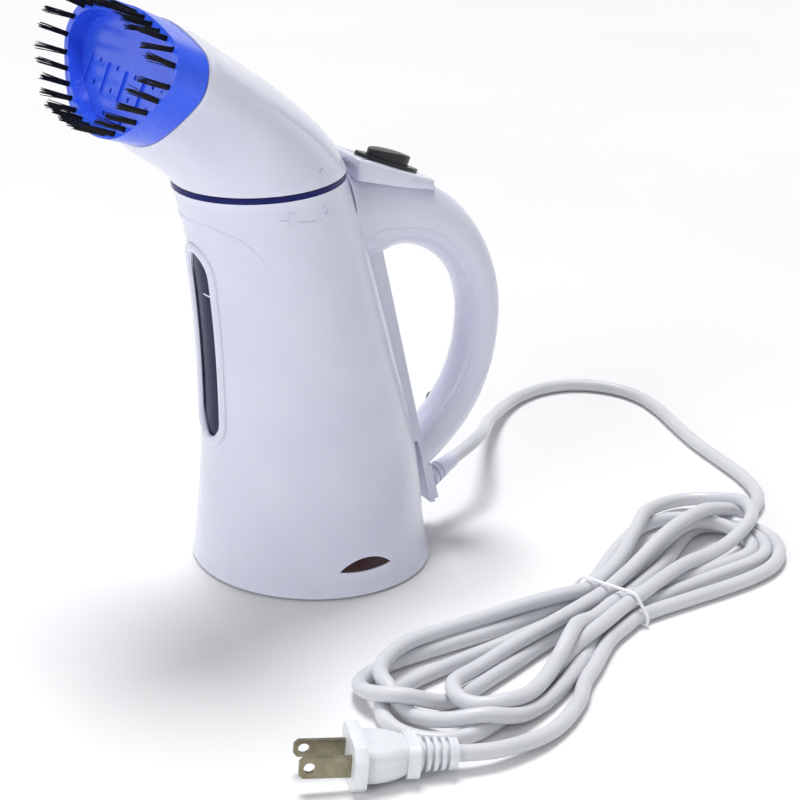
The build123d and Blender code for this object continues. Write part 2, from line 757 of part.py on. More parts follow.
# ---------------------------------------------------------------- cord, hank, tie and plug
def cord_tube(route, name):
    """A tube of straight runs and tangent arcs, each arc as large as its two runs allow."""
    points = [Vector(*point) for point in route]
    radii = []
    for before, corner, after in zip(points, points[1:], points[2:]):
        arriving = corner - before
        leaving = after - corner
        half_turn = math.radians(arriving.get_angle(leaving)) / 2
        radii.append(0.45 * min(arriving.length, leaving.length) / math.tan(half_turn))
    path = FilletPolyline(*points, radius=radii)
    tube = sweep(Plane(origin=path @ 0, z_dir=path % 0) * Circle(CORD_DIAMETER / 2), path=path)
    expected = path.length * math.pi * CORD_DIAMETER ** 2 / 4
    print(name, "length", round(path.length, 1), "volume over expected", round(tube.volume / expected, 4))
    print(name, "radii", [round(radius, 1) for radius in radii])
    return tube


def cord_hank():
    """The outer form of the tied hank."""
    outline = make_face(Spline([Vector(x, y) for x, y in HANK_OUTLINE], periodic=True))
    return extrude(outline, HANK_HEIGHT)


def cord_tie():
    """The thin loop round the hank's neck."""
    height = HANK_HEIGHT + 1.3
    place = Pos(TIE_POINT[0], TIE_POINT[1], height / 2) * Rot(0, 0, TIE_HEADING)
    return place * Box(1.3, 36.0, height) - cord_hank()


PLUG_FLANGE_END = 4.6
PLUG_GRIP_END = 19.4
PLUG_COLLAR_END = 23.6


def rounded_block(low, high, across, upright, radius):
    """A block along the plug's axis with rounded long edges."""
    return extrude(PLUG.offset(low) * RectangleRounded(across, upright, radius), high - low)


def plug_body():
    """The moulded plug: a flange, a waisted grip and a collar."""
    flange = extrude(PLUG * chamfer(Rectangle(25.4, 17.0).vertices(), 3.4), PLUG_FLANGE_END)
    grip = loft([
        PLUG.offset(PLUG_FLANGE_END) * RectangleRounded(20.6, 13.2, 4.0),
        PLUG.offset(11.0) * RectangleRounded(19.8, 13.0, 4.0),
        PLUG.offset(15.8) * RectangleRounded(17.2, 12.2, 4.0),
        PLUG.offset(PLUG_GRIP_END) * RectangleRounded(13.8, 11.0, 4.0),
    ])
    return flange + grip + rounded_block(PLUG_GRIP_END, PLUG_COLLAR_END, 16.4, 12.6, 3.6)


def lead_route():
    """The plug lead's route: straight out of the relief, then down to the floor and into the hank."""
    start = PLUG.offset(PLUG_LENGTH).origin
    straight = PLUG.offset(PLUG_LENGTH + 10.6).origin
    return [tuple(start), tuple(straight)] + LEAD_ROUTE


def plug_relief():
    """The plug's ribbed strain relief, tapering to the cord."""
    start, end = PLUG_COLLAR_END, PLUG_LENGTH
    relief = loft([PLUG.offset(start) * Circle(6.1), PLUG.offset(end) * Circle(5.5)])
    for index in range(4):
        low = start + 1.4 + 2.7 * index
        relief -= ring(PLUG, 8.0, 4.1, low, low + 1.3)
    return relief


def plug_blades():
    """Two flat blades, chamfered at the tip and with a round hole near it, one a little wider."""
    blades = []
    for side, width in ((-1, 7.9), (1, 6.35)):
        blank = Box(1.5, width, 17.8)
        tip_edges = blank.edges().filter_by(Axis.X).group_by(Axis.Z)[0]
        blade = PLUG * Pos(side * 6.35, 0, -8.9) * chamfer(tip_edges, 1.5)
        blade -= PLUG * Pos(side * 6.35, 0, -14.3) * Rot(0, 90, 0) * Cylinder(1.98, 4.0)
        blades.append(blade)
    return Compound(children=blades)


# ---------------------------------------------------------------- all parts
def make_parts():
    """Every sub-part by node name."""
    outer_body = body_form(0) & slab(-10, BODY_HEIGHT + 20)
    handle = handle_solid(outer_body)
    left = handle_half(handle, 1)
    right = handle_half(handle, -1)
    panel = grip_panel(7.0) - outer_body
    cutter = grip_panel(7.1)
    hank = cord_hank()
    return {
        "body_shell": body_shell(),
        "window_pane": window_pane(),
        "indicator_lens": indicator_lens(),
        "indicator_lamp": indicator_lamp(),
        "water_tank": water_tank(),
        "element_seal": element_seal(),
        "heater_plate": heater_plate(),
        "heating_element": heating_element(),
        "heater_screws": heater_screws(),
        "thermostat": thermostat(),
        "thermal_fuse": thermal_fuse(),
        "base_plate": base_plate(),
        "base_pad": base_pad(),
        "base_screws": base_screws(),
        "handle_left": left - cutter,
        "handle_right": right - cutter,
        "grip_panel": panel,
        "handle_screws": handle_screws(),
        "switch_cover": switch_cover(outer_body),
        "switch_bezel": switch_bezel(),
        "switch_button": switch_button(),
        "switch_plunger": switch_plunger(),
        "switch_body": switch_body(),
        "wire_leads": wire_leads(),
        "cord_relief": cord_relief(),
        "head_shell": head_shell(),
        "lock_ring": lock_ring(),
        "head_gasket": head_gasket(),
        "steam_baffle": steam_baffle(),
        "nozzle_grille": nozzle_grille(),
        "brush_frame": brush_frame(),
        "bristle_tufts": bristle_tufts(),
        "power_cord": cord_tube(CORD_ROUTE, "power_cord") - hank,
        "cord_hank": hank,
        "plug_lead": cord_tube(lead_route(), "plug_lead") - hank,
        "cord_tie": cord_tie(),
        "plug_body": plug_body(),
        "plug_relief": plug_relief(),
        "plug_blades": plug_blades(),
    }


os.makedirs("parts", exist_ok=True)
for node, shape in make_parts().items():
    export_step(shape, f"parts/{node}.step")
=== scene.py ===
"""A handheld garment steamer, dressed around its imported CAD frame.

Everything is in metres in the frame's own axes: the base stands on z = 0, the nozzle points to -X and
the handle to +X. The order is camera, cord, materials, added pieces, floor and lights.
"""

import math

import bmesh
import bpy
import numpy as np
from mathutils import Matrix, Vector
from mathutils.bvhtree import BVHTree


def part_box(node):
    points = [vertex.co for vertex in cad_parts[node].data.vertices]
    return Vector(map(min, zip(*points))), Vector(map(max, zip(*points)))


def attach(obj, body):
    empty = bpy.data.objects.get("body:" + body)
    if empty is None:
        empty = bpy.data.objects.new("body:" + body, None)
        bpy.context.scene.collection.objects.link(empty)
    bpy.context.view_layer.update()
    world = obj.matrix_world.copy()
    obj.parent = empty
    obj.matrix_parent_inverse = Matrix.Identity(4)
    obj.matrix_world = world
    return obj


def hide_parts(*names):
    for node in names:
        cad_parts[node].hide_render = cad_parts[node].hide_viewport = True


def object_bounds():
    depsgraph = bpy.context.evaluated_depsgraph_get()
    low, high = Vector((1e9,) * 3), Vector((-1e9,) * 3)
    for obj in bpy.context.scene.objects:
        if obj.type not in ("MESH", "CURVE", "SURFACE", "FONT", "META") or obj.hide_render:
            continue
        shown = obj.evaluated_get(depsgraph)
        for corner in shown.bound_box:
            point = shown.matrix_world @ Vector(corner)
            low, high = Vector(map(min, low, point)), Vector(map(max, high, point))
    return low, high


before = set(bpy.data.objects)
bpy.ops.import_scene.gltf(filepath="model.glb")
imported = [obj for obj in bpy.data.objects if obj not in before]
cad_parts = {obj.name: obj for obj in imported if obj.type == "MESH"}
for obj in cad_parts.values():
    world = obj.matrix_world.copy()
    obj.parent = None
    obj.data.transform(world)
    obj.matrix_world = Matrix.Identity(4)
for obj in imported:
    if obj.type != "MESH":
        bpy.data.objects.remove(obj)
cad_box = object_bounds()

MM = 0.001

# ---------------------------------------------------------------- camera
CAMERA_PLACE = Vector((-0.3587, -0.6837, 0.3718))
CAMERA_LENS = 91.1
CAMERA_YAW = 30.29     # degrees from +Y towards +X
CAMERA_PITCH = 21.48   # degrees downwards
CAMERA_ROLL = 2.08


def add_camera():
    """The camera, at the photograph's viewing angle."""
    yaw, pitch, roll = (math.radians(a) for a in (CAMERA_YAW, CAMERA_PITCH, CAMERA_ROLL))
    forward = Vector((math.sin(yaw) * math.cos(pitch), math.cos(yaw) * math.cos(pitch), -math.sin(pitch)))
    level = Vector((math.cos(yaw), -math.sin(yaw), 0.0))
    upright = level.cross(forward)
    right = math.cos(roll) * level + math.sin(roll) * upright
    up = right.cross(forward)
    data = bpy.data.cameras.new("camera")
    data.lens = CAMERA_LENS
    data.sensor_width = 36.0
    camera = bpy.data.objects.new("camera", data)
    bpy.context.scene.collection.objects.link(camera)
    turn = Matrix((right, up, -forward)).transposed().to_4x4()
    camera.matrix_world = Matrix.Translation(CAMERA_PLACE) @ turn
    bpy.context.scene.camera = camera


# ---------------------------------------------------------------- cord
CORD_DIAMETER = 5.95 * MM
# From the handle's relief up over the floor, down to it, and round to the hank.
CORD_ROUTE = [
    (0.0711, 0.0056, 0.0255),
    (0.0810, 0.0092, 0.0280),
    (0.0910, 0.0158, 0.0286),
    (0.1000, 0.0255, 0.0266),
    (0.1085, 0.0375, 0.0225),
    (0.1180, 0.0515, 0.0170),
    (0.1290, 0.0665, 0.0115),
    (0.1415, 0.0810, 0.0070),
    (0.1550, 0.0940, 0.0042),
    (0.1705, 0.1045, 0.0030),
    (0.1885, 0.1100, 0.0030),
    (0.2068, 0.1074, 0.0030),
    (0.2208, 0.0960, 0.0030),
    (0.2274, 0.0788, 0.0030),
    (0.2252, 0.0586, 0.0030),
    (0.2195, 0.0370, 0.0030),
    (0.2150, 0.0155, 0.0030),
    (0.2130, -0.0060, 0.0030),
    (0.2105, -0.0265, 0.0030),
    (0.2040, -0.0450, 0.0030),
]
# From the hank to the plug's relief.
LEAD_ROUTE = [
    (0.0150, -0.1704, 0.0030),
    (0.0020, -0.1772, 0.0036),
    (-0.0118, -0.1802, 0.0050),
    (-0.02575, -0.18084, 0.00623),
    (-0.03579, -0.17748, 0.00679),
]
TIE_PLACE = np.array((0.079, -0.105))
TIE_HEADING = math.radians(24.0)
SLOT = 1.03 * CORD_DIAMETER       # from strand to strand at the tie
HANK_START = np.array((0.191, -0.0565))
HANK_END = np.array((0.0276, -0.1606))
START_BOW = 7.0 * MM
END_BOW = 8.0 * MM
# Each loop leaves the tie and comes back to it: heading in degrees, length and half width in mm, how
# round its tip is, its slots across the tie going out and coming back, and its level in the pile
# going out and coming back.
LOOPS = [
    (207.0, 108.0, 11.5, 0.30, 0.5, -0.5, 4.0, 3.5),
    (18.0, 97.0, 12.5, 0.30, -0.5, 1.0, 3.2, 2.0),
    (200.5, 131.0, 16.0, 0.25, 1.0, -1.5, 1.5, 1.6),
    (30.0, 117.0, 16.5, 0.25, -1.5, 1.5, 5.0, 5.0),
    (199.5, 120.0, 26.0, 0.10, 1.5, -1.0, 2.0, 1.4),
    (21.0, 103.0, 14.0, 0.30, -1.0, 0.0, 1.0, 1.8),
    (194.5, 124.0, 13.5, 0.30, 0.0, 2.0, 3.0, 1.0),
    (22.0, 101.0, 25.0, 0.12, 2.0, -2.0, 0.5, 0.6),
]
LOOP_POINTS = 30
LEVEL = 5.0 * MM                  # how far apart two levels of the pile start
HANK_SPACING = 5.5 * MM
SETTLE_STEPS = 400
NEIGHBOURS = 4.5                  # places nearer than this along the cord don't push each other


def strand(start, end, bow, levels):
    """A strand between two places in plan, bowed to its right, as (x, y, level) rows."""
    share = np.linspace(0, 1, LOOP_POINTS)[:, None]
    run = end - start
    side = np.array((run[1], -run[0])) / np.linalg.norm(run)
    plan = start + run * share + side * bow * np.sin(math.pi * share) * (1.2 - 0.6 * share)
    level = levels[0] + (levels[1] - levels[0]) * share
    return np.hstack((plan, level))


def loop_rows(loop):
    """One loop of the hank in plan, as (x, y, level) rows."""
    heading, length, half_width, roundness, slot_out, slot_back, level_out, level_back = loop
    angle = math.radians(heading)
    out = np.array((math.cos(angle), math.sin(angle)))
    side = np.array((-out[1], out[0]))
    across = np.array((-math.sin(TIE_HEADING), math.cos(TIE_HEADING)))
    turn = 1.0 if slot_out > slot_back else -1.0
    if side @ across < 0:
        turn = -turn
    share = np.linspace(0, 1, LOOP_POINTS)[:, None]
    bulge = np.sin(2 * math.pi * share) - roundness * np.sin(4 * math.pi * share)
    plan = TIE_PLACE + out * length * MM * np.sin(math.pi * share)
    plan = plan + side * turn * half_width * MM * bulge
    plan = plan + across * SLOT * (slot_out + (slot_back - slot_out) * share)
    return np.hstack((plan, level_out + (level_back - level_out) * share))


def tie_slot(slot):
    """The place in plan of one slot across the tie."""
    across = np.array((-math.sin(TIE_HEADING), math.cos(TIE_HEADING)))
    return TIE_PLACE + across * SLOT * slot


def hank_rows():
    """The hank's turns in plan, evenly spaced along the cord, as (x, y, level) rows."""
    first, last = LOOPS[0], LOOPS[-1]
    parts = [strand(HANK_START, tie_slot(first[4]), START_BOW, (4.0, first[6]))]
    parts += [loop_rows(loop)[1:] for loop in LOOPS]
    parts.append(strand(tie_slot(last[5]), HANK_END, END_BOW, (last[7], 0.0))[1:])
    rows = np.vstack(parts)
    travelled = np.r_[0, np.cumsum(np.linalg.norm(np.diff(rows[:, :2], axis=0), axis=1))]
    even = np.linspace(0, travelled[-1], round(travelled[-1] / HANK_SPACING) + 1)
    return np.column_stack([np.interp(even, travelled, column) for column in rows.T])


def between_points(count):
    """A matrix from control points to places on the line, and where along it each place is."""
    rows = []
    along = []
    for i in range(count - 1):
        row = np.zeros(count)
        row[i] = row[i + 1] = 0.5
        rows.append(row)
        along.append(i + 0.5)
        if i + 2 < count:
            row = np.zeros(count)
            row[i] = row[i + 2] = 0.125
            row[i + 1] = 0.75
            rows.append(row)
            along.append(i + 1.0)
    return np.array(rows), np.array(along)


def settle(rows):
    """Lets the turns down onto the floor and each other, and returns the control points."""
    radius = CORD_DIAMETER / 2
    want = 1.01 * CORD_DIAMETER
    points = np.column_stack((rows[:, :2], radius + LEVEL * rows[:, 2]))
    home = points[:, :2].copy()
    places, along = between_points(len(points))
    apart = along[:, None] + NEIGHBOURS < along[None]
    for step in range(SETTLE_STEPS):
        points[:, 2] -= 0.35 * MM if step < 0.75 * SETTLE_STEPS else 0.05 * MM
        if step % 10 == 0:
            line = places @ points
            gaps = np.linalg.norm(line[:, None, :2] - line[None, :, :2], axis=2)
            one, other = np.nonzero((gaps < want + 3 * MM) & apart)
        for _ in range(3):
            line = places @ points
            offset = line[one] - line[other]
            gap = np.linalg.norm(offset, axis=1)
            close = gap < want
            push = (want - gap[close])[:, None] * offset[close] / gap[close][:, None] / 2
            moves = np.zeros_like(line)
            counts = np.zeros(len(line))
            for index, sign in ((one[close], 1.0), (other[close], -1.0)):
                np.add.at(moves, index, sign * push)
                np.add.at(counts, index, 1)
            points += places.T @ (moves / np.maximum(counts, 1)[:, None]) * 0.9
            points[:, 2] = np.maximum(points[:, 2], radius + 0.05 * MM)
            middle = (points[:-2] + points[2:]) / 2
            points[1:-1, 2] += 0.12 * (middle[:, 2] - points[1:-1, 2])
            points[1:-1, :2] += 0.05 * (middle[:, :2] - points[1:-1, :2])
            points[:, :2] += 0.06 * (home - points[:, :2])
    return points


def nurbs(name, points, diameter):
    """A round cord on one open NURBS spline with these control points."""
    curve = bpy.data.curves.new(name, "CURVE")
    curve.dimensions = "3D"
    curve.bevel_depth = 1.0
    curve.bevel_resolution = 5
    curve.resolution_u = 6
    curve.use_fill_caps = True
    spline = curve.splines.new("NURBS")
    spline.points.add(len(points) - 1)
    for point, place in zip(spline.points, points):
        point.co = (*place, 1.0)
        point.radius = diameter / 2
    spline.order_u = 3
    spline.use_endpoint_u = True
    cord = bpy.data.objects.new(name, curve)
    bpy.context.scene.collection.objects.link(cord)
    return cord


add_camera()
hank = settle(hank_rows())
cord = nurbs("cord", CORD_ROUTE + hank.tolist() + LEAD_ROUTE, CORD_DIAMETER)
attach(cord, "body")
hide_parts("power_cord", "cord_hank", "plug_lead")


# ---------------------------------------------------------------- materials
class Nodes:
    """A new material's node tree, with short calls to add and join nodes."""

    def __init__(self, name):
        self.material = bpy.data.materials.new(name)
        self.material.use_nodes = True
        self.tree = self.material.node_tree
        self.shader = self.tree.nodes["Principled BSDF"]
        self.place = self.tree.nodes.new("ShaderNodeTexCoord").outputs["Object"]

    def add(self, kind, inputs=None, **settings):
        node = self.tree.nodes.new("ShaderNode" + kind)
        for key, value in settings.items():
            setattr(node, key, value)
        for key, value in (inputs or {}).items():
            self.put(node.inputs[key], value)
        return node

    def put(self, socket, value):
        if isinstance(value, bpy.types.NodeSocket):
            self.tree.links.new(value, socket)
        else:
            socket.default_value = value

    def noise(self, scale, detail=3.0, stretch=(1.0, 1.0, 1.0)):
        """Noise whose cells are about 1/scale metres across."""
        scaled = self.add("Mapping", {"Vector": self.place, "Scale": stretch})
        texture = self.add("TexNoise", {"Vector": scaled.outputs[0], "Scale": scale, "Detail": detail})
        return texture.outputs["Fac"]

    def spread(self, value, low, high):
        """The middle of a noise's range spread over low to high."""
        node = self.add("MapRange", {"Value": value, 1: 0.3, 2: 0.7, 3: low, 4: high})
        return node.outputs[0]

    def mix(self, share, first, second):
        node = self.add("Mix", {0: share, 6: first, 7: second}, data_type="RGBA")
        return node.outputs[2]

    def bump(self, height, depth, under=None):
        """A bump of this depth in metres, on top of another bump if one is given."""
        node = self.add("Bump", {"Height": height, "Strength": 1.0, "Distance": depth})
        if under is not None:
            self.put(node.inputs["Normal"], under)
        return node.outputs[0]


def tone(red, green, blue, factor=1.0):
    """A colour given as screen values from 0 to 255, as the shader's linear colour."""
    def linear(value):
        share = value / 255
        return share / 12.92 if share <= 0.04045 else ((share + 0.055) / 1.055) ** 2.4
    return (*(min(1.0, factor * linear(value)) for value in (red, green, blue)), 1.0)


def moulded(
    name, colour, gloss, shade, grain=0.02, grain_scale=900.0, coat=0.0, subsurface=0.0, shine=0.5
):
    """Moulded plastic: slow colour drift, a painted highlight on sharp edges, a roughness that wanders,
    orange peel and a fine grain.
    gloss is (lowest, highest roughness), shade a second colour and grain a depth in mm."""
    nodes = Nodes(name)
    drift = nodes.spread(nodes.noise(28.0, 4.0), 0.0, 1.0)
    # Painted highlight: sharp convex edges are mixed towards a lighter copy of the colour.
    edge = nodes.add("NewGeometry").outputs["Pointiness"]
    painted_edge_highlight = nodes.add("MapRange", {"Value": edge, 1: 0.52, 2: 0.62, 3: 0.0, 4: 0.35}).outputs[0]
    base = nodes.mix(drift, colour, shade)
    nodes.put(nodes.shader.inputs["Base Color"], nodes.mix(painted_edge_highlight, base, lighter(colour)))
    smears = nodes.noise(160.0, 6.0, (1.0, 1.0, 0.35))
    nodes.put(nodes.shader.inputs["Roughness"], nodes.spread(smears, *gloss))
    peel = nodes.bump(nodes.noise(260.0, 1.0), 0.02 * MM)
    fine = nodes.bump(nodes.noise(grain_scale, 2.0), grain * MM, peel)
    nodes.put(nodes.shader.inputs["Normal"], fine)
    nodes.shader.inputs["Specular IOR Level"].default_value = shine
    nodes.shader.inputs["Coat Weight"].default_value = coat
    nodes.shader.inputs["Coat Roughness"].default_value = 0.06
    nodes.shader.inputs["Subsurface Weight"].default_value = subsurface
    nodes.shader.inputs["Subsurface Scale"].default_value = 2.0 * MM
    return nodes.material


def lighter(colour):
    """The same colour, a little lighter."""
    return (*(min(1.0, 1.2 * value + 0.004) for value in colour[:3]), 1.0)


def metal(name, colour, roughness, scratch_scale, stretch):
    """Brushed or stamped metal: scratches along one way, stains and a rolled finish."""
    nodes = Nodes(name)
    scratches = nodes.noise(scratch_scale, 5.0, stretch)
    stains = nodes.spread(nodes.noise(220.0, 4.0), 0.0, 1.0)
    dull = tuple(0.72 * value for value in colour[:3]) + (1.0,)
    nodes.put(nodes.shader.inputs["Base Color"], nodes.mix(stains, colour, dull))
    nodes.shader.inputs["Metallic"].default_value = 1.0
    nodes.put(nodes.shader.inputs["Roughness"], nodes.spread(scratches, roughness, roughness + 0.2))
    nodes.put(nodes.shader.inputs["Normal"], nodes.bump(scratches, 0.03 * MM))
    return nodes.material


def clear(name, colour, roughness, passing=0.85, shine=0.5):
    """Tinted clear plastic, with flow marks from its mould."""
    nodes = Nodes(name)
    flow = nodes.noise(120.0, 3.0, (1.0, 1.0, 0.3))
    nodes.put(nodes.shader.inputs["Base Color"], nodes.mix(nodes.spread(flow, 0, 1), colour, lighter(colour)))
    nodes.put(nodes.shader.inputs["Roughness"], nodes.spread(flow, roughness, roughness + 0.05))
    nodes.shader.inputs["Specular IOR Level"].default_value = shine
    nodes.shader.inputs["Transmission Weight"].default_value = passing
    nodes.shader.inputs["IOR"].default_value = 1.49
    nodes.put(nodes.shader.inputs["Normal"], nodes.bump(flow, 0.02 * MM))
    return nodes.material


WHITE = tone(214, 216, 232)
WHITE_SHADE = tone(208, 210, 228)
NAVY = tone(16, 22, 92)
MATERIALS = {
    "housing_white": moulded("housing_white", WHITE, (0.16, 0.26), WHITE_SHADE, 0.006, 1400.0, 0.35, 0.05),
    "housing_satin": moulded("housing_satin", WHITE, (0.30, 0.42), WHITE_SHADE, 0.012, 1500.0, 0.1, 0.05),
    "window_smoke": clear("window_smoke", tone(20, 26, 66), 0.05, 0.15, 0.06),
    "mark_white": moulded("mark_white", tone(225, 228, 240), (0.35, 0.5), tone(205, 208, 228), 0.01),
    "lens_red": clear("lens_red", tone(58, 26, 30), 0.12, 0.3, 0.2),
    "lamp_glass": clear("lamp_glass", tone(235, 150, 90), 0.05),
    "tank_navy": moulded("tank_navy", NAVY, (0.12, 0.25), tone(12, 17, 78), 0.01, 900.0, 0.0, 0.0, 0.16),
    "rubber_grey": moulded("rubber_grey", tone(72, 74, 80), (0.6, 0.8), tone(58, 60, 64), 0.05, 1300.0),
    "steel": metal("steel", tone(190, 190, 192), 0.25, 700.0, (1.0, 1.0, 0.1)),
    "screw_steel": metal("screw_steel", tone(150, 152, 158), 0.3, 1400.0, (1.0, 1.0, 1.0)),
    "part_black": moulded(
        "part_black", tone(30, 34, 38), (0.28, 0.45), tone(22, 25, 28), 0.02, 1500.0, 0.05, 0.0, 0.35
    ),
    "brush_blue": moulded(
        "brush_blue", tone(50, 92, 232), (0.2, 0.32), tone(44, 84, 222), 0.006, 1200.0, 0.12, 0.05, 0.35
    ),
    "grille_blue": moulded(
        "grille_blue", tone(84, 130, 255), (0.22, 0.34), tone(66, 108, 248), 0.01, 1200.0, 0.1, 0.05, 0.4
    ),
    "bristle_black": moulded(
        "bristle_black", tone(24, 25, 27), (0.35, 0.55), tone(10, 11, 12), 0.01, 4000.0, 0.0, 0.0, 0.2
    ),
    "cord_white": moulded(
        "cord_white", tone(212, 213, 218), (0.36, 0.52), tone(204, 205, 211), 0.03, 700.0, 0.05, 0.05
    ),
    "plug_white": moulded(
        "plug_white", tone(224, 227, 231), (0.26, 0.4), tone(216, 220, 225), 0.015, 1100.0, 0.1, 0.05
    ),
    "tie_white": moulded(
        "tie_white", tone(240, 241, 246), (0.35, 0.5), tone(228, 230, 238), 0.02, 1500.0, 0.0, 0.2
    ),
    "blade_metal": metal("blade_metal", tone(150, 144, 122), 0.22, 900.0, (0.15, 1.0, 1.0)),
}

NODE_MATERIALS = {
    "housing_white": (
        "body_shell", "head_shell", "handle_left", "handle_right", "grip_panel", "switch_cover",
    ),
    "housing_satin": ("base_plate", "cord_relief"),
    "window_smoke": ("window_pane",),
    "lens_red": ("indicator_lens",),
    "lamp_glass": ("indicator_lamp",),
    "tank_navy": ("water_tank", "lock_ring"),
    "rubber_grey": ("element_seal", "base_pad", "head_gasket"),
    "steel": ("heater_plate", "heating_element", "steam_baffle", "thermostat", "thermal_fuse"),
    "screw_steel": ("heater_screws", "base_screws", "handle_screws"),
    "part_black": ("switch_bezel", "switch_body", "switch_button", "switch_plunger"),
    "brush_blue": ("brush_frame",),
    "grille_blue": ("nozzle_grille",),
    "bristle_black": ("bristle_tufts",),
    "cord_white": ("wire_leads",),
    "plug_white": ("plug_body", "plug_relief"),
    "tie_white": ("cord_tie",),
    "blade_metal": ("plug_blades",),
}
SMOOTH_ANGLE = math.radians(32.0)


def paint(thing, material):
    """Gives an object one of the materials."""
    thing.data.materials.clear()
    thing.data.materials.append(MATERIALS[material])


def smooth(thing):
    """Smooth shading that stays crisp at the real edges."""
    for polygon in thing.data.polygons:
        polygon.use_smooth = True
    weld = thing.modifiers.new("weld", "WELD")
    weld.merge_threshold = 0.002 * MM
    split = thing.modifiers.new("split", "EDGE_SPLIT")
    split.split_angle = SMOOTH_ANGLE


for material, names in NODE_MATERIALS.items():
    for name in names:
        paint(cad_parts[name], material)
        smooth(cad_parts[name])
paint(cord, "cord_white")

# The boss under the switch has its edges rounded off, as moulded.
switch_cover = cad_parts["switch_cover"]
switch_cover.modifiers.remove(switch_cover.modifiers["split"])
rounding = switch_cover.modifiers.new("rounding", "BEVEL")
rounding.width = 1.6 * MM
rounding.segments = 4
rounding.limit_method = "ANGLE"
rounding.angle_limit = SMOOTH_ANGLE
rounding.harden_normals = True


# ---------------------------------------------------------------- lines raised on a surface
def surface(*names):
    """A tree to cast rays at, of these CAD nodes."""
    vertices = []
    faces = []
    for name in names:
        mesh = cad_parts[name].data
        start = len(vertices)
        vertices += [vertex.co.copy() for vertex in mesh.vertices]
        faces += [[start + i for i in polygon.vertices] for polygon in mesh.polygons]
    return BVHTree.FromPolygons(vertices, faces)


def cast(tree, places, direction):
    """Where rays from these places meet the surface, as (point, outward normal) pairs.
    A ray that slips between two triangles is tried again from a little way beside."""
    hits = []
    for place in places:
        for nudge in (0.0, 0.04, -0.04, 0.3):
            beside = Vector(place) + Vector((nudge, nudge / 2, nudge)) * MM
            point, normal, _, _ = tree.ray_cast(beside, Vector(direction))
            if point is not None:
                break
        else:
            raise ValueError(f"no surface along {direction} from {tuple(place)}")
        hits.append((point, normal if normal.dot(Vector(direction)) < 0 else -normal))
    return hits


BEAD_STEPS = 7


def bead(name, lines, width, height, material, body, sunk=0.15 * MM, flat=1.0, fade=1):
    """Ridges that follow lines of (point, normal) pairs. A line is (closed, pairs).
    A ridge is half an ellipse across, with a flatter top the larger flat is, and an open line's ends
    shrink away over the last fade points."""
    mesh = bmesh.new()
    for closed, pairs in lines:
        rings = []
        count = len(pairs)
        for i, (point, normal) in enumerate(pairs):
            ahead = pairs[(i + 1) % count if closed else min(i + 1, count - 1)][0]
            behind = pairs[i - 1 if closed else max(i - 1, 0)][0]
            side = (ahead - behind).cross(normal).normalized()
            size = 1.0 if closed else min(1.0, (i + 0.5) / fade, (count - 0.5 - i) / fade)
            ring = []
            for k in range(BEAD_STEPS):
                angle = math.pi * k / (BEAD_STEPS - 1)
                outward = size * height * min(1.0, flat * math.sin(angle))
                if k in (0, BEAD_STEPS - 1):
                    outward -= sunk
                across = side * size * width / 2 * math.cos(angle)
                ring.append(mesh.verts.new(point + across + normal * outward))
            rings.append(ring)
        for i in range(count if closed else count - 1):
            one, other = rings[i], rings[(i + 1) % count]
            for k in range(BEAD_STEPS):
                after = (k + 1) % BEAD_STEPS
                mesh.faces.new((one[k], other[k], other[after], one[after]))
        if not closed:
            mesh.faces.new(rings[0])
            mesh.faces.new(list(reversed(rings[-1])))
    return finished(name, mesh, material, body)


def finished(name, mesh, material, body):
    """Turns a bmesh into a smooth object with a material, riding on a body."""
    bmesh.ops.recalc_face_normals(mesh, faces=mesh.faces)
    data = bpy.data.meshes.new(name)
    mesh.to_mesh(data)
    mesh.free()
    thing = bpy.data.objects.new(name, data)
    bpy.context.scene.collection.objects.link(thing)
    smooth(thing)
    paint(thing, material)
    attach(thing, body)
    return thing


def arc(centre, radius, start, end, count=9):
    """Points in plan on an arc, its angles in degrees."""
    angles = [math.radians(start + (end - start) * i / (count - 1)) for i in range(count)]
    return [(centre[0] + radius * math.cos(a), centre[1] + radius * math.sin(a)) for a in angles]


def run(points, step=1.0):
    """A line through these corners, with a point at least every step."""
    found = []
    for first, second in zip(points, points[1:]):
        count = max(1, math.ceil(math.dist(first, second) / step))
        for i in range(count):
            share = i / count
            found.append(tuple(a + (b - a) * share for a, b in zip(first, second)))
    return found + [tuple(points[-1])]


def flowing(points, step=1.0):
    """A smooth line through these points, with a point at least every step."""
    rows = np.array(points, float)
    ends = np.vstack((2 * rows[0] - rows[1], rows, 2 * rows[-1] - rows[-2]))
    found = []
    for before, first, second, after in zip(ends, ends[1:], ends[2:], ends[3:]):
        count = max(1, math.ceil(np.linalg.norm(second - first) / step))
        for i in range(count):
            t = i / count
            second_order = (2 * before - 5 * first + 4 * second - after) * t
            bend = second_order + (3 * (first - second) + after - before) * t * t
            found.append(first + t * ((second - before) + bend) / 2)
    return found + [rows[-1]]


# ---------------------------------------------------------------- window surround and level mark
WINDOW_LOW, WINDOW_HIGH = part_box("window_pane")
SURROUND_GAP = 0.5     # mm from the pane's edge to the rim's middle line
SURROUND_WIDTH = 4.2 * MM
SURROUND_HEIGHT = 1.5 * MM
LEVEL_MARK = [(-6.7, 120.0), (-1.0, 120.0)]     # y and z in mm
FRONT_START = cad_box[0][0] - 0.02              # x that rays towards +X start from


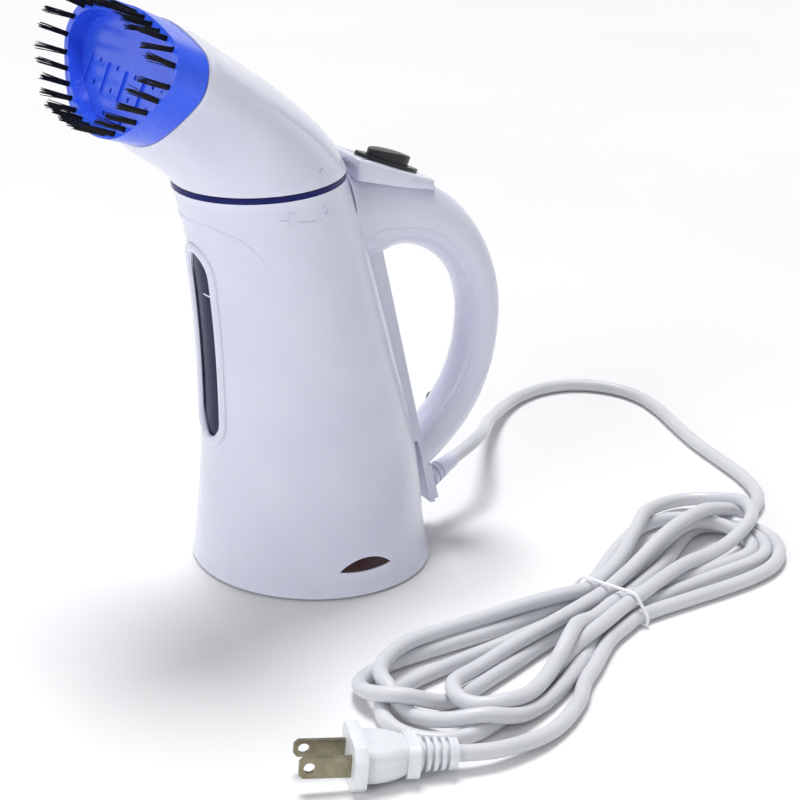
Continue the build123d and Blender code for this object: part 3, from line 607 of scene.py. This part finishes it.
def window_surround():
    """The raised rim round the water window, and the level mark on the pane."""
    front = surface("body_shell", "window_pane")
    half = WINDOW_HIGH.y / MM + SURROUND_GAP
    low = WINDOW_LOW.z / MM + WINDOW_HIGH.y / MM
    high = WINDOW_HIGH.z / MM - WINDOW_HIGH.y / MM
    slot = arc((0, high), half, 0, 180, 17) + arc((0, low), half, 180, 360, 17)
    slot = run(slot + slot[:1], 2.5)[:-1]
    places = [(FRONT_START, y * MM, z * MM) for y, z in slot]
    pairs = cast(front, places, (1, 0, 0))
    bead("window_surround", [(True, pairs)], SURROUND_WIDTH, SURROUND_HEIGHT, "housing_white", "body")
    places = [(FRONT_START, y * MM, z * MM) for y, z in run(LEVEL_MARK)]
    pairs = cast(front, places, (1, 0, 0))
    bead("level_mark", [(False, pairs)], 0.7 * MM, 0.12 * MM, "mark_white", "body")


window_surround()

# ---------------------------------------------------------------- lock symbols and pointer
SIDE_START = -0.2      # y that rays towards +Y start from


def on_side(tree, lines):
    """Lines given as (closed, [(x, z) in mm]) put on the surface that faces -Y."""
    found = []
    for closed, points in lines:
        places = [(x * MM, SIDE_START, z * MM) for x, z in points]
        found.append((closed, cast(tree, places, (0, 1, 0))))
    return found


def shackle(x, z, ends):
    """A padlock's shackle over a case whose top middle is (x, z), its two legs ending at these heights."""
    return (False, [(x + 1.2, ends[0])] + arc((x, z + 1.3), 1.2, 0, 180) + [(x - 1.2, ends[1])])


def lock_symbols():
    """The raised lock symbols under the collar and the pointer on the head."""
    body_side = surface("body_shell")
    open_case = run([(-31.4, 153.2), (-31.4, 156.0)], 0.4)
    closed_case = run([(-13.8, 153.8), (-13.8, 156.6)], 0.4)
    cases = [(False, open_case), (False, closed_case)]
    bead("lock_cases", on_side(body_side, cases), 3.3 * MM, 0.5 * MM, "housing_white", "body", flat=3.0)
    lines = [shackle(-29.0, 156.0, (156.6, 155.8)), shackle(-13.8, 156.6, (156.4, 156.4))]
    lines.append((False, run([(-26.6, 154.2), (-18.0, 154.1)])))
    lines.append((False, run([(-25.0, 155.3), (-26.6, 154.2), (-25.0, 153.2)], 0.6)))
    bead("lock_symbols", on_side(body_side, lines), 0.9 * MM, 0.5 * MM, "housing_white", "body", flat=2.0)
    head_side = surface("head_shell")
    triangle = run([(-18.7, 174.0), (-13.4, 174.3), (-15.9, 171.3), (-18.7, 174.0)], 0.8)
    pairs = on_side(head_side, [(True, triangle[:-1])])
    bead("lock_pointer", pairs, 0.8 * MM, 0.4 * MM, "housing_white", "head", flat=2.0)


lock_symbols()

# ---------------------------------------------------------------- brow, head panel and handle lines
# The brow as (degrees round the body from its front, height in mm), and the other lines as (x, z) in mm.
BROW = [
    (0.0, 149.6), (20.0, 149.7), (29.0, 148.9), (38.0, 147.3),
    (46.0, 145.2), (53.5, 142.2), (59.0, 139.0), (65.0, 134.0),
]
BROW_AXIS = -20.5      # x of the body's axis at the brow, in mm
PANEL_EDGE = [
    (-67.0, 215.2), (-56.9, 209.7), (-43.1, 202.0), (-31.2, 194.9),
    (-19.5, 186.7), (-9.4, 178.0), (-2.8, 170.5), (-1.4, 168.7),
]
PANEL_RISE = 0.9 * MM
PANEL_SUNK = 0.12 * MM      # how deep the panel's edge lies in the head, so that no gap shows
HANDLE_SHOULDER = [(31.9, 158.8), (36.5, 157.9), (41.1, 156.6), (45.6, 154.9), (50.0, 152.6)]
HANDLE_SEAM = [
    (20.0, 135.5), (17.6, 138.4), (21.0, 140.6), (27.2, 140.3), (36.1, 139.0),
    (44.6, 137.0), (53.1, 132.6), (60.6, 126.0), (66.4, 117.0), (69.8, 106.0),
    (71.2, 94.0), (70.6, 82.0), (67.6, 70.0), (62.0, 60.0), (54.0, 50.0),
]
RAY_OFFSET = 0.09           # how far outside the surface the brow's and the panel's rays start


def brow():
    """The soft ridge that arches over the water window on both sides."""
    half = flowing(BROW, 1.6)
    line = [(-azimuth, z) for azimuth, z in half[:0:-1]] + [tuple(point) for point in half]
    tree = surface("body_shell")
    pairs = []
    for azimuth, z in line:
        angle = math.radians(azimuth)
        outward = Vector((-math.cos(angle), -math.sin(angle), 0.0))
        place = Vector((BROW_AXIS, 0.0, z)) * MM + outward * RAY_OFFSET
        pairs += cast(tree, [place], -outward)
    bead("brow", [(False, pairs)], 3.4 * MM, 0.5 * MM, "housing_white", "body", 0.02 * MM, fade=16)


def head_panel():
    """The smooth panel that covers the top of the head, edged by a crease on each side."""
    tree = surface("head_shell")
    edge = flowing(PANEL_EDGE, 2.5)
    rows = []
    for i, (x, z) in enumerate(edge):
        before, after = edge[max(i - 1, 0)], edge[min(i + 1, len(edge) - 1)]
        upward = Vector((before[1] - after[1], 0.0, after[0] - before[0])).normalized()
        side = cast(tree, [(x * MM, SIDE_START, z * MM)], (0, 1, 0))[0][0]
        end = min(i, len(edge) - 1 - i) / 2
        row = []
        for t in np.linspace(-1, 1, 41):
            rise = min(1.0, (1 - abs(t)) / 0.06, end)
            place = Vector((x * MM, side.y * t, z * MM)) + upward * RAY_OFFSET
            point, normal = cast(tree, [place], -upward)[0]
            row.append(point + normal * (PANEL_RISE * rise - PANEL_SUNK))
        rows.append(row)
    mesh = bmesh.new()
    verts = [[mesh.verts.new(point) for point in row] for row in rows]
    for one, other in zip(verts, verts[1:]):
        for k in range(len(one) - 1):
            mesh.faces.new((one[k], one[k + 1], other[k + 1], other[k]))
    finished("head_panel", mesh, "housing_white", "head")


def handle_lines():
    """The shoulder crease of the handle's root and the seam of its inner panel, on both sides."""
    tree = surface("handle_left", "handle_right", "switch_cover", "grip_panel")
    for name, line, width, height in (
        ("handle_shoulder", HANDLE_SHOULDER, 2.6, 0.4),
        ("handle_seam", HANDLE_SEAM, 1.1, 0.3),
    ):
        lines = []
        for way in (1, -1):
            places = [(x * MM, SIDE_START * way, z * MM) for x, z in flowing(line, 1.5)]
            lines.append((False, cast(tree, places, (0, way, 0))))
        bead(name, lines, width * MM, height * MM, "housing_white", "body", 0.05 * MM, fade=4)


brow()
head_panel()
handle_lines()

# ---------------------------------------------------------------- plug details
PLUG_END = Vector(LEAD_ROUTE[-1])
PLUG_ALONG = (PLUG_END - Vector(LEAD_ROUTE[-2])).normalized()     # from the lead towards the blades
SEAM_START = 19.0      # mm from the lead's end
SEAM_POINTS = 13       # a millimetre apart


def plug_seam():
    """The plug's parting line, along both sides of its grip."""
    tree = surface("plug_body")
    flat = Vector((PLUG_ALONG.x, PLUG_ALONG.y, 0.0)).normalized()
    across = Vector((-flat.y, flat.x, 0.0))
    seams = []
    for way in (1, -1):
        places = [
            PLUG_END + PLUG_ALONG * (SEAM_START + k) * MM + across * 0.03 * way
            for k in range(SEAM_POINTS)
        ]
        seams.append((False, cast(tree, places, -across * way)))
    bead("plug_seam", seams, 0.4 * MM, 0.12 * MM, "plug_white", "body", 0.05 * MM)


plug_seam()

# ---------------------------------------------------------------- bristles
FILAMENTS = 14
FILAMENT_DIAMETER = 0.46 * MM
SPREAD_AT_TIP = 0.32   # extra spread at the tips, as a share of the tuft's radius
GOLDEN_ANGLE = 2.39996      # radians from one filament to the next, which fills the tuft evenly


def islands(thing):
    """The separate parts of a mesh, each as an array of its vertices' places."""
    mesh = bmesh.new()
    mesh.from_mesh(thing.data)
    bmesh.ops.remove_doubles(mesh, verts=mesh.verts, dist=0.01 * MM)
    mesh.verts.ensure_lookup_table()
    seen = set()
    found = []
    for vertex in mesh.verts:
        if vertex.index in seen:
            continue
        seen.add(vertex.index)
        group = [vertex]
        for member in group:
            for edge in member.link_edges:
                other = edge.other_vert(member)
                if other.index not in seen:
                    seen.add(other.index)
                    group.append(other)
        found.append(np.array([tuple(member.co) for member in group]))
    mesh.free()
    return found


def filament(mesh, start, end, bend, diameter):
    """One tapered, slightly bent filament of four sides."""
    axis = (end - start).normalized()
    side = axis.orthogonal().normalized()
    rings = []
    for share, width in ((0.0, 1.0), (0.5, 1.0), (0.85, 0.95), (1.0, 0.6)):
        centre = start.lerp(end, share) + bend * share * share
        ring = []
        for k in range(4):
            around = Matrix.Rotation(math.pi / 2 * k, 3, axis) @ side
            ring.append(mesh.verts.new(centre + around * diameter / 2 * width))
        rings.append(ring)
    for one, other in zip(rings, rings[1:]):
        for k in range(4):
            mesh.faces.new((one[k], one[(k + 1) % 4], other[(k + 1) % 4], other[k]))
    mesh.faces.new(rings[-1])
    mesh.faces.new(list(reversed(rings[0])))


def bristles():
    """Each tuft as a bundle of filaments, in the place of its CAD rod."""
    chance = np.random.default_rng(7)
    mesh = bmesh.new()
    for points in islands(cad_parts["bristle_tufts"]):
        centre = points.mean(axis=0)
        axis = np.linalg.svd(points - centre)[2][0]
        if axis[0] > 0:
            axis = -axis
        reach = (points - centre) @ axis
        across = np.linalg.norm(points - centre - np.outer(reach, axis), axis=1).max()
        first = np.cross(axis, (0, 1, 0))
        second = np.cross(axis, first)
        lean = first * chance.normal(0, 0.05) + second * chance.normal(0, 0.05)
        for i in range(FILAMENTS):
            angle = i * GOLDEN_ANGLE
            radius = (across - FILAMENT_DIAMETER / 2) * math.sqrt((i + 0.5) / FILAMENTS)
            around = (first * math.cos(angle) + second * math.sin(angle)) * radius
            length = reach.max() - reach.min() - abs(chance.normal(0, 0.5 * MM))
            start = centre + axis * reach.min() + around
            tip = start + axis * length + around * SPREAD_AT_TIP + lean * length
            bend = Vector(chance.normal(0, 0.35 * MM, 3))
            filament(mesh, Vector(start), Vector(tip), bend, FILAMENT_DIAMETER)
    tufts = finished("bristles", mesh, "bristle_black", "brush")
    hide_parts("bristle_tufts")


bristles()

# ---------------------------------------------------------------- the tie round the hank
TIE_DIAMETER = 1.4 * MM
TIE_SLACK = 0.4 * MM
TIE_SIDES = 8


def hull(points):
    """The convex outline of flat points, anticlockwise."""
    ordered = sorted(map(tuple, points))
    halves = []
    for sequence in (ordered, ordered[::-1]):
        half = []
        for point in sequence:
            while len(half) > 1 and cross_flat(half[-2], half[-1], point) <= 0:
                half.pop()
            half.append(point)
        halves += half[:-1]
    return halves


def cross_flat(origin, one, other):
    """Which way the corner origin, one, other turns."""
    return (one[0] - origin[0]) * (other[1] - origin[1]) - (one[1] - origin[1]) * (other[0] - origin[0])


def tie():
    """The thin loop that holds the strands together, pulled round them."""
    along = np.array((math.cos(TIE_HEADING), math.sin(TIE_HEADING)))
    across = np.array((-along[1], along[0]))
    near = hank[np.abs((hank[:, :2] - TIE_PLACE) @ along) < HANK_SPACING]
    reach = (CORD_DIAMETER + TIE_DIAMETER) / 2 + TIE_SLACK
    cloud = []
    for strand_point in near:
        middle = ((strand_point[:2] - TIE_PLACE) @ across, strand_point[2])
        cloud += arc(middle, reach, 0, 360, 25)
    floor = TIE_DIAMETER / 2
    outline = [(a, max(b, floor)) for a, b in hull(cloud)]
    outline = run(outline + outline[:1], 1.0 * MM)[:-1]
    mesh = bmesh.new()
    rings = []
    for i, (a, b) in enumerate(outline):
        before, after = outline[i - 1], outline[(i + 1) % len(outline)]
        way = Vector((after[0] - before[0], after[1] - before[1])).normalized()
        outward = (way.y, -way.x)
        ring = []
        for k in range(TIE_SIDES):
            angle = 2 * math.pi * k / TIE_SIDES
            flat = a + outward[0] * TIE_DIAMETER / 2 * math.cos(angle)
            high = b + outward[1] * TIE_DIAMETER / 2 * math.cos(angle)
            plan = TIE_PLACE + across * flat + along * TIE_DIAMETER / 2 * math.sin(angle)
            ring.append(mesh.verts.new((*plan, high)))
        rings.append(ring)
    for i, ring in enumerate(rings):
        other = rings[(i + 1) % len(rings)]
        for k in range(TIE_SIDES):
            after = (k + 1) % TIE_SIDES
            mesh.faces.new((ring[k], ring[after], other[after], other[k]))
    band = finished("hank_tie", mesh, "tie_white", "body")
    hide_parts("cord_tie")
    return band


hank_tie = tie()

# ---------------------------------------------------------------- floor, light and world
FLOOR_SIZE = 60.0
OBJECT_CENTRE = (0.02, -0.02, 0.10)
KEY_PLACE = (-1.3, -0.6, 0.7)
KEY_SIZE = (0.6, 0.9)
KEY_POWER = 6.5
TOP_DIRECTION = (-0.1, -0.33, -1.0)
TOP_STRENGTH = 2.35
TOP_SOFTNESS = 24.0         # degrees


def add_floor():
    """A plain pale floor with a faint unevenness."""
    mesh = bmesh.new()
    bmesh.ops.create_grid(mesh, x_segments=4, y_segments=4, size=FLOOR_SIZE / 2)
    data = bpy.data.meshes.new("floor")
    mesh.to_mesh(data)
    mesh.free()
    floor = bpy.data.objects.new("floor", data)
    bpy.context.scene.collection.objects.link(floor)
    nodes = Nodes("floor")
    cloud = nodes.spread(nodes.noise(3.0), 0, 1)
    pale = nodes.mix(cloud, (0.82, 0.82, 0.83, 1), (0.85, 0.85, 0.85, 1))
    nodes.put(nodes.shader.inputs["Base Color"], pale)
    nodes.shader.inputs["Roughness"].default_value = 0.7
    nodes.put(nodes.shader.inputs["Normal"], nodes.bump(nodes.noise(300.0), 0.02 * MM))
    data.materials.append(nodes.material)


def area_light(name, place, target, size, power):
    """A rectangular light at a place, facing a target."""
    data = bpy.data.lights.new(name, "AREA")
    data.shape = "RECTANGLE"
    data.size, data.size_y = size
    data.energy = power
    light = bpy.data.objects.new(name, data)
    bpy.context.scene.collection.objects.link(light)
    light.location = place
    light.rotation_euler = (Vector(target) - Vector(place)).to_track_quat("-Z", "Y").to_euler()


def sun(name, direction, strength, softness):
    """An even light from far away, its softness in degrees."""
    data = bpy.data.lights.new(name, "SUN")
    data.energy = strength
    data.angle = math.radians(softness)
    light = bpy.data.objects.new(name, data)
    bpy.context.scene.collection.objects.link(light)
    light.rotation_euler = Vector(direction).to_track_quat("-Z", "Y").to_euler()


# How bright the room is at the horizon, low on its walls, high on them and overhead.
ROOM = [(0.0, 0.92), (0.22, 0.85), (0.42, 0.26), (1.0, 0.5)]


def add_world():
    """A white room with bright walls and a dimmer ceiling."""
    world = bpy.data.worlds.new("studio")
    world.use_nodes = True
    tree = world.node_tree
    place = tree.nodes.new("ShaderNodeTexCoord").outputs["Generated"]
    split = tree.nodes.new("ShaderNodeSeparateXYZ")
    ramp = tree.nodes.new("ShaderNodeValToRGB")
    while len(ramp.color_ramp.elements) < len(ROOM):
        ramp.color_ramp.elements.new(0.5)
    for stop, (height, level) in zip(ramp.color_ramp.elements, ROOM):
        stop.position = height
        stop.color = (0.98 * level, 0.99 * level, level, 1.0)
    tree.links.new(place, split.inputs[0])
    tree.links.new(split.outputs["Z"], ramp.inputs[0])
    tree.links.new(ramp.outputs[0], tree.nodes["Background"].inputs["Color"])
    bpy.context.scene.world = world


add_floor()
add_world()
area_light("key", KEY_PLACE, OBJECT_CENTRE, KEY_SIZE, KEY_POWER)
sun("top", TOP_DIRECTION, TOP_STRENGTH, TOP_SOFTNESS)
bpy.context.scene.view_settings.view_transform = "Standard"
